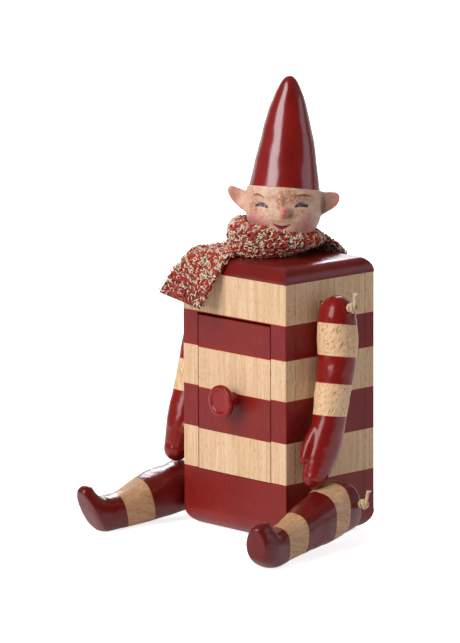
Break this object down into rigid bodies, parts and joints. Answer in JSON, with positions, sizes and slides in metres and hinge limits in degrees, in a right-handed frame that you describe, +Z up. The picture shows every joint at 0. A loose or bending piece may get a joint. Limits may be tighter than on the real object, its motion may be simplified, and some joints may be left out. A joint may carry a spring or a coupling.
{
  "type": "wooden elf figure",
  "caption": "Painted wooden elf with a box body and drawer, turning head with tall hat, knitted scarf, and arms and legs strung on cords.",
  "frame": {"origin": "on the ground, under the middle of the box body", "axes": "+Z up, -Y is the front with the drawer, +X is the elf's own left"},
  "size_m": [0.1446, 0.1237, 0.23],
  "materials": {
    "red_gloss_wood": "dark red gloss paint over wood",
    "striped_beech": "clear beech with dark red painted bands, satin",
    "plain_beech": "bare sanded beech",
    "limb_wood": "carved beech with dark red painted bands, satin gloss",
    "flesh_wood": "hand painted flesh tones, satin",
    "hat_gloss_wood": "glossy dark red lacquer over carved wood",
    "knit": "looped red and cream wool knit",
    "cotton": "twisted tan cotton",
    "steel": "plain steel"
  },
  "bodies": {
    "body": {"base_board": "red_gloss_wood", "lid_board": "red_gloss_wood", "front_board": "striped_beech", "back_board": "striped_beech", "left_side_board": "striped_beech", "right_side_board": "striped_beech", "drawer_shelf": "plain_beech", "drawer_divider": "plain_beech", "left_guide": "plain_beech", "right_guide": "plain_beech", "scarf": "knit", "shoulder_cord": "cotton", "hip_cord": "cotton"},
    "drawer": {"drawer_front": "striped_beech", "drawer_left_side": "plain_beech", "drawer_right_side": "plain_beech", "drawer_back": "plain_beech", "drawer_bottom": "plain_beech", "knob": "red_gloss_wood", "knob_screw": "steel"},
    "head": {"head": "flesh_wood", "hat": "hat_gloss_wood", "neck_peg": "plain_beech", "neck_washer": "steel", "neck_screw": "steel"},
    "left_arm": {"left_arm": "limb_wood"},
    "right_arm": {"right_arm": "limb_wood"},
    "left_leg": {"left_leg": "limb_wood"},
    "right_leg": {"right_leg": "limb_wood"}
  },
  "joints": [
    {"name": "drawer_slide", "type": "slide", "parent": "body", "child": "drawer", "axis": [0, -1, 0], "range_m": [0, 0.043]},
    {"name": "head_turn", "type": "hinge", "parent": "body", "child": "head", "pos_m": [0, 0.0024, 0.14], "axis": [0, 0, 1], "continuous": true},
    {"name": "left_shoulder", "type": "hinge", "parent": "body", "child": "left_arm", "pos_m": [0.0484, -0.006, 0.1205], "axis": [-1, 0, 0], "range_deg": [0, 300]},
    {"name": "right_shoulder", "type": "hinge", "parent": "body", "child": "right_arm", "pos_m": [-0.0484, -0.006, 0.1205], "axis": [-1, 0, 0], "range_deg": [0, 300]},
    {"name": "left_hip", "type": "hinge", "parent": "body", "child": "left_leg", "pos_m": [0.0513, -0.0055, 0.021], "axis": [1, 0, 0], "range_deg": [0, 75]},
    {"name": "right_hip", "type": "hinge", "parent": "body", "child": "right_leg", "pos_m": [-0.0513, -0.0055, 0.021], "axis": [1, 0, 0], "range_deg": [0, 75]}
  ]
}
